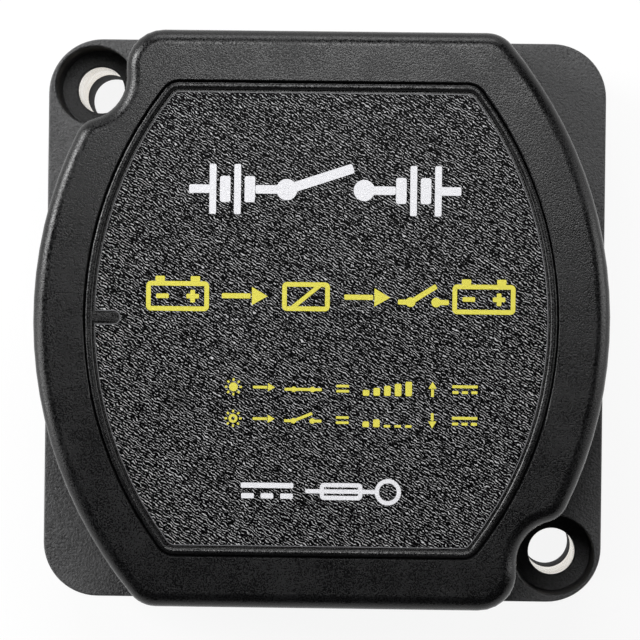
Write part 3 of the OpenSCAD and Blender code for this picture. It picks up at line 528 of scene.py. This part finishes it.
def addMoulding(s, edges):
    piece = copyNode(s["node"], s["piece"])
    tidyNormals(piece)
    joinFlatFaces(piece)
    if "grow" in s:
        closeGap(piece, s["grow"])
    edge = piece.modifiers.new("edge", "BEVEL")
    edge.width = s["edge"] * mm
    edge.segments = edges["segments"]
    edge.limit_method = "ANGLE"
    edge.angle_limit = math.radians(edges["sharpFrom"])
    edge.use_clamp_overlap = False
    makeActive(piece)
    bpy.ops.object.modifier_apply(modifier="edge")
    smoothBy(piece, edges["smooth"])
    # large flat faces stay flat in the light
    level = piece.modifiers.new("level", "WEIGHTED_NORMAL")
    level.weight = edges["levelWeight"]
    level.keep_sharp = True
    bpy.ops.object.modifier_apply(modifier="level")
    finishPiece(piece, s["piece"], "housing", s["finish"])
    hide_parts(s["node"])


for moulding in mouldings:
    addMoulding(moulding, edgeSettings)
print("mouldings rounded")


# the film's cut rim is painted as a thin pale line, a painted highlight where the edge catches the
# light
rimSettings = {"width": 0.11, "colour": (0.10, 0.10, 0.105), "roughness": 0.4, "upAbove": 0.9}


def addFilm(s):
    film = copyNode("label", "labelSheet")
    tidyNormals(film)
    joinFlatFaces(film)
    for face in film.data.polygons:
        face.select = face.normal.z > s["upAbove"]
    editOn(film)
    bpy.ops.mesh.inset(thickness=s["width"] * mm)
    editOff()
    finishPiece(film, "labelSheet", "housing", labelFilm)
    # painted highlight: a pale band along the rim of the film's top face
    film.data.materials.append(mouldedPlastic("paintedRimHighlight", s["colour"], s["roughness"]))
    for face in film.data.polygons:
        face.material_index = 1 if face.normal.z > s["upAbove"] and not face.select else 0
    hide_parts("label")


addFilm(rimSettings)
print("film laid in")


# printed symbols on the film, in the places and colours of the printed lines
inkSettings = {"thickness": 0.03, "sink": 0.005, "corner": 0.22, "cornerSteps": 3, "boxSteps": 4,
               "dotSides": 32, "layer": 0.0012, "layers": 7}
inkCount = count(1)


# each shape lies a hair above the one before, so that none coincide
def inkPlace(x, y):
    layer = next(inkCount) % inkSettings["layers"]
    return (x * mm, y * mm, labelTop + layer * inkSettings["layer"] * mm)


def bar(x, y, width, height, turn=0.0):
    short = min(width, height)
    place = inkPlace(x, y)
    bpy.ops.mesh.primitive_plane_add(size=mm, location=place)
    bpy.ops.transform.resize(value=(width, height, 1), center_override=place)
    bpy.ops.transform.rotate(value=-math.radians(turn), orient_axis="Z", center_override=place)
    bpy.ops.mesh.bevel(offset=short * inkSettings["corner"] * mm,
                       segments=inkSettings["cornerSteps"], affect="VERTICES")


def line(x0, y0, x1, y1, thick):
    length = math.hypot(x1 - x0, y1 - y0)
    bar((x0 + x1) / 2, (y0 + y1) / 2, length, thick, math.degrees(math.atan2(y1 - y0, x1 - x0)))


def dot(x, y, radius, sides=inkSettings["dotSides"], turn=0.0):
    bpy.ops.mesh.primitive_circle_add(vertices=sides, radius=radius * mm, fill_type="NGON",
                                      location=inkPlace(x, y), rotation=(0, 0, math.radians(turn)))


def hollow(thick):
    bpy.ops.mesh.inset(thickness=thick * mm)
    bpy.ops.mesh.delete(type="FACE")


def ringMark(x, y, radius, thick):
    dot(x, y, radius)
    hollow(thick)


def box(x, y, width, height, thick):
    place = inkPlace(x, y)
    bpy.ops.mesh.primitive_plane_add(size=mm, location=place)
    bpy.ops.transform.resize(value=(width, height, 1), center_override=place)
    bpy.ops.mesh.bevel(offset=thick * mm, segments=inkSettings["boxSteps"], affect="VERTICES")
    hollow(thick)


def wayAt(turn):
    return Vector((math.cos(math.radians(turn)), math.sin(math.radians(turn))))


def arrow(x, y, length, head, thick, turn=0.0, headRadius=0.62):
    way, middle = wayAt(turn), Vector((x, y))
    start, neck = middle - way * length / 2, middle + way * (length / 2 - head)
    line(start.x, start.y, neck.x, neck.y, thick)
    tip = middle + way * (length / 2 - head * headRadius)
    dot(tip.x, tip.y, head * headRadius, 3, turn - 90)


# the parts of the symbols, as shares of a symbol's own width, height, step, radius or line
cellShares = {"thin": 0.55, "thick": 0.85, "short": 0.52}
batteryShares = {"postAt": 0.28, "postWidth": 0.15, "postHeight": 1.1, "postLift": 0.55,
                 "signAt": 0.24, "sign": 0.2}
lampShares = {"near": 1.35, "far": 1.95, "ray": 0.8, "raysEvery": 45}
contactShares = {"lead": 0.28, "padAt": 0.25, "pad": 0.95}
directShares = {"dashAt": 0.37, "dash": 0.24}
levelShares = {"bars": 5, "first": 0.4, "rise": 0.15, "width": 0.62}


def cell(x, y, height, step, flip=1):
    s = cellShares
    for i in (0, 1):
        bar(x + flip * i * 2 * step, y, step * s["thin"], height)
        bar(x + flip * (i * 2 + 1) * step, y, step * s["thick"], height * s["short"])


def batteryBox(x, y, width, height, thick):
    s = batteryShares
    box(x, y, width, height, thick)
    for side in (-1, 1):
        bar(x + side * width * s["postAt"], y + height / 2 + thick * s["postLift"],
            width * s["postWidth"], thick * s["postHeight"])
        bar(x + side * width * s["signAt"], y, width * s["sign"], thick)
    bar(x + width * s["signAt"], y, thick, width * s["sign"])


def lamp(x, y, radius, lit, thick):
    s = lampShares
    if lit:
        dot(x, y, radius)
    else:
        ringMark(x, y, radius, thick)
    for turn in range(0, 360, s["raysEvery"]):
        near, far = wayAt(turn) * radius * s["near"], wayAt(turn) * radius * s["far"]
        line(x + near.x, y + near.y, x + far.x, y + far.y, thick * s["ray"])


def contact(x, y, width, lift, thick):
    s = contactShares
    line(x - width / 2, y, x - width * s["lead"], y, thick)
    line(x + width * s["lead"], y, x + width / 2, y, thick)
    for side in (-1, 1):
        dot(x + side * width * s["padAt"], y, thick * s["pad"])
    line(x - width * s["padAt"], y, x + width * s["padAt"], y + lift, thick)


def direct(x, y, width, thick):
    s = directShares
    bar(x, y + thick, width, thick)
    for i in (-1, 0, 1):
        bar(x + i * width * s["dashAt"], y - thick, width * s["dash"], thick)


def levelBars(x, y, height, step, filled, thick):
    s = levelShares
    for i in range(s["bars"]):
        tall = height * (s["first"] + s["rise"] * i) if i < filled else thick
        bar(x + i * step, y - height / 2 + tall / 2, step * s["width"], tall)


# each row: a symbol, its place on the film in millimetres, and its sizes
whiteShapes = [
    (cell, -12.9, 15.25, 5.9, 1.45),
    (line, -15.7, 15.25, -13.2, 15.25, 1.0),
    (line, -7.9, 15.25, -4.4, 15.25, 1.0),
    (dot, -4.2, 15.25, 1.25),
    (line, -4.2, 15.25, 3.6, 17.85, 1.15),
    (dot, 4.9, 15.25, 1.25),
    (line, 5.0, 15.25, 8.6, 15.25, 1.0),
    (cell, 13.6, 15.25, 5.9, 1.45, -1),
    (line, 13.8, 15.25, 16.3, 15.25, 1.0),
    (direct, -6.1, -20.15, 6.2, 0.62),
    (box, 2.6, -20.15, 5.0, 2.0, 0.5),
    (line, -1.6, -20.15, 6.8, -20.15, 0.5),
    (ringMark, 8.1, -20.15, 1.55, 0.5),
]


def lampRow(y, lit, lift, turn, filled):
    return [
        (lamp, -10.2, y, 0.52, lit, 0.3),
        (arrow, -6.6, y, 2.6, 0.9, 0.32),
        (contact, -2.0, y - 0.2, 4.4, lift, 0.34),
        (line, 1.9, y + 0.25, 3.4, y + 0.25, 0.3),
        (line, 1.9, y - 0.35, 3.4, y - 0.35, 0.3),
        (levelBars, 5.4, y, 1.7, 1.25, filled, 0.3),
        (arrow, 13.2, y, 1.8, 0.9, 0.34, turn),
        (direct, 17.0, y, 3.0, 0.34),
    ]


yellowShapes = [
    (batteryBox, -16.9, 2.6, 7.4, 3.5, 0.55),
    (arrow, -9.0, 2.7, 5.4, 2.0, 0.6),
    (box, -1.8, 2.7, 5.6, 3.4, 0.55),
    (line, -3.6, 1.2, 0.0, 4.2, 0.5),
    (arrow, 5.4, 2.7, 5.4, 2.0, 0.6),
    (contact, 12.0, 2.2, 6.0, 1.9, 0.6),
    (batteryBox, 19.1, 2.6, 7.4, 3.5, 0.55),
    *lampRow(-8.0, lit=True, lift=0.0, turn=90, filled=5),
    *lampRow(-11.7, lit=False, lift=0.9, turn=270, filled=2),
]


def printInk(name, shapes, material, s):
    ink = startPiece(labelTop)
    for shape, *sizes in shapes:
        shape(*sizes)
    bpy.ops.mesh.select_all(action="SELECT")
    bpy.ops.transform.translate(value=(0, 0, -s["sink"] * mm))
    bpy.ops.mesh.extrude_region_move(TRANSFORM_OT_translate={"value": (0, 0, s["thickness"] * mm)})
    bpy.ops.mesh.select_all(action="SELECT")
    bpy.ops.mesh.normals_make_consistent(inside=False)
    editOff()
    finishPiece(ink, name, "housing", material)


printInk("whiteMarks", whiteShapes, whiteInk, inkSettings)
printInk("yellowMarks", yellowShapes, yellowInk, inkSettings)
print("symbols printed")


# springs: each coil is copied, smoothed and dressed in spring steel
springSettings = [
    {"node": "return_spring", "piece": "returnSpring", "body": "housing", "joint": "plunger_slide",
     "travel": 2.0, "pushed": "high", "smooth": 50},
    {"node": "contact_spring", "piece": "contactSpring", "body": "plunger_set", "joint": "bridge_slide",
     "travel": 0.6, "pushed": "low", "smooth": 50},
]


def addSpring(s):
    spring = copyNode(s["node"], s["piece"])
    tidyNormals(spring)
    smoothBy(spring, s["smooth"])
    finishPiece(spring, s["piece"], s["body"], springSteel)
    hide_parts(s["node"])
    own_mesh(spring)


for coil in springSettings:
    addSpring(coil)
print("springs laid")


# studs: the shank below the deck gets its rolled thread
threadSettings = {
    "radius": 3.97, "root": 3.38, "pitch": 1.25, "crest": 0.24,
    "top": 15.8, "bottom": 1.2, "chamfer": 0.9,
    "stepsPerTurn": 36, "coreGrow": 1.002, "coreSides": 48, "mergeBelow": 0.001, "smooth": 30,
}


def cutShank(head, s):
    editOn(head)
    bpy.ops.mesh.select_all(action="SELECT")
    bpy.ops.mesh.bisect(plane_co=(0, 0, s["top"] * mm), plane_no=(0, 0, 1), clear_inner=True,
                        use_fill=True)
    editOff()


def turnThread(s):
    rod = startPiece()
    mesh = bmesh.from_edit_mesh(rod.data)
    middle, half = s["pitch"] / 2, s["pitch"] * s["crest"] / 2
    profile = [(s["root"], 0), (s["radius"], middle - half), (s["radius"], middle + half),
               (s["root"], s["pitch"])]
    verts = [mesh.verts.new((r * mm, 0, (s["bottom"] + z) * mm)) for r, z in profile]
    for first, second in zip(verts, verts[1:]):
        mesh.edges.new((first, second))
    bmesh.update_edit_mesh(rod.data)
    editOff()
    screw = rod.modifiers.new("thread", "SCREW")
    screw.screw_offset = s["pitch"] * mm
    screw.iterations = int((s["top"] - s["bottom"]) / s["pitch"]) - 1
    screw.steps = screw.render_steps = s["stepsPerTurn"]
    screw.use_merge_vertices = True
    screw.merge_threshold = s["mergeBelow"] * mm
    makeActive(rod)
    bpy.ops.object.modifier_apply(modifier="thread")
    return rod


# the core closes the shank inside the thread
def addCore(rod, s):
    editOn(rod)
    bpy.ops.mesh.select_all(action="SELECT")
    bpy.ops.mesh.fill_holes(sides=0)
    bpy.ops.mesh.normals_make_consistent(inside=False)
    bpy.ops.mesh.primitive_cylinder_add(
        vertices=s["coreSides"], radius=s["root"] * s["coreGrow"] * mm,
        depth=(s["top"] - s["bottom"]) * mm, location=(0, 0, (s["top"] + s["bottom"]) / 2 * mm))
    editOff()


def chamferEnd(rod, s):
    for vert in rod.data.vertices:
        reach = math.hypot(vert.co.x, vert.co.y)
        above = vert.co.z / mm - s["bottom"]
        most = (s["radius"] - s["chamfer"] + above) * mm
        if above < s["chamfer"] and reach > most:
            vert.co.x *= most / reach
            vert.co.y *= most / reach


def addThreadedStud(nodeName, pieceName, s):
    low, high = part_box(nodeName)
    head = copyNode(nodeName, pieceName)
    tidyNormals(head)
    cutShank(head, s)
    rod = turnThread(s)
    addCore(rod, s)
    chamferEnd(rod, s)
    rod.location.x = (low.x + high.x) / 2
    makeActive(rod)
    bpy.ops.object.transform_apply(location=True, rotation=True, scale=True)
    makeActive(head)
    rod.select_set(True)
    bpy.ops.object.join()
    smoothBy(head, s["smooth"])
    finishPiece(head, pieceName, "housing", bareCopper)
    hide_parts(nodeName)


addThreadedStud("stud_left", "studLeft", threadSettings)
addThreadedStud("stud_right", "studRight", threadSettings)
print("studs threaded")


# floor and backdrop: white to the camera, with a soft shadow
floorSettings = {"size": 6.0, "drop": 0.05 * mm, "colour": (0.90, 0.90, 0.90, 1), "roughness": 0.9,
                 "shadow": 0.10}


def addFloor(s):
    deselectAll()
    bpy.ops.mesh.primitive_plane_add(size=s["size"], location=(0, 0, -s["drop"]))
    floor = bpy.context.object
    floor.name = "floor"
    material, tree, shader = newMaterial("paleFloor")
    shader.inputs["Base Color"].default_value = s["colour"]
    shader.inputs["Roughness"].default_value = s["roughness"]
    path = addNode(tree, "ShaderNodeLightPath").outputs
    seen = mathOf(tree, "MAXIMUM", path["Is Camera Ray"], path["Is Glossy Ray"])
    seen = mathOf(tree, "MAXIMUM", seen, path["Is Transmission Ray"])
    glow = addNode(tree, "ShaderNodeEmission", {"Color": (1, 1, 1, 1), "Strength": 1.0})
    share = mathOf(tree, "MULTIPLY", seen, 1 - s["shadow"])
    layers = {0: share, 1: shader.outputs[0], 2: glow.outputs[0]}
    mixed = addNode(tree, "ShaderNodeMixShader", layers)
    tree.links.new(mixed.outputs[0], tree.nodes["Material Output"].inputs["Surface"])
    floor.data.materials.append(material)


# white all round for the camera, and up to a low height for gloss and glass: the ceiling stays dim
worldSettings = {"ambient": 0.05, "dimToWhite": (0.30, 0.10)}


def setWorld(s):
    world = bpy.data.worlds.new("studio")
    bpy.context.scene.world = world
    world.use_nodes = True
    tree = world.node_tree
    path = addNode(tree, "ShaderNodeLightPath").outputs
    height = addNode(tree, "ShaderNodeSeparateXYZ", {0: objectPoint(tree)}).outputs["Z"]
    low = remap(tree, height, s["dimToWhite"])
    mirrored = mathOf(tree, "MAXIMUM", path["Is Glossy Ray"], path["Is Transmission Ray"])
    seen = mathOf(tree, "MAXIMUM", path["Is Camera Ray"], mathOf(tree, "MULTIPLY", mirrored, low))
    soft = tree.nodes["Background"]
    soft.inputs["Color"].default_value = (1, 1, 1, 1)
    soft.inputs["Strength"].default_value = s["ambient"]
    white = addNode(tree, "ShaderNodeBackground", {"Color": (1, 1, 1, 1), "Strength": 1.0})
    mixed = addNode(tree, "ShaderNodeMixShader", {0: seen, 1: soft.outputs[0], 2: white.outputs[0]})
    tree.links.new(mixed.outputs[0], tree.nodes["World Output"].inputs["Surface"])


addFloor(floorSettings)
setWorld(worldSettings)
bpy.context.scene.view_settings.view_transform = "Standard"
print("stage set")
